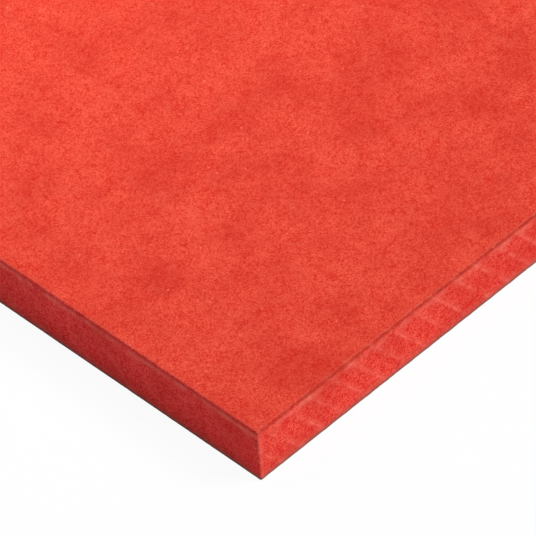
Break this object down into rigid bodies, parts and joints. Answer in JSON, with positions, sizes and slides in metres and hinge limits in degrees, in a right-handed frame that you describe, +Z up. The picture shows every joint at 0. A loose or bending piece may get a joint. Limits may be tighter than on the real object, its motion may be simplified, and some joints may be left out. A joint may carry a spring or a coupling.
{
  "type": "mdf board",
  "caption": "Flat rectangular panel of red through-dyed medium-density fibreboard with sanded faces, square sawn edges and lightly eased arrises.",
  "frame": {"origin": "middle of the board's lower face, on the surface that it lies on", "axes": "+X along the board's length, +Y across its width, +Z up through its thickness"},
  "size_m": [0.6, 0.3, 0.019],
  "materials": {
    "dyed_fibreboard": "matte"
  },
  "bodies": {
    "root": {"mdf_board": "dyed_fibreboard"}
  },
  "joints": []
}
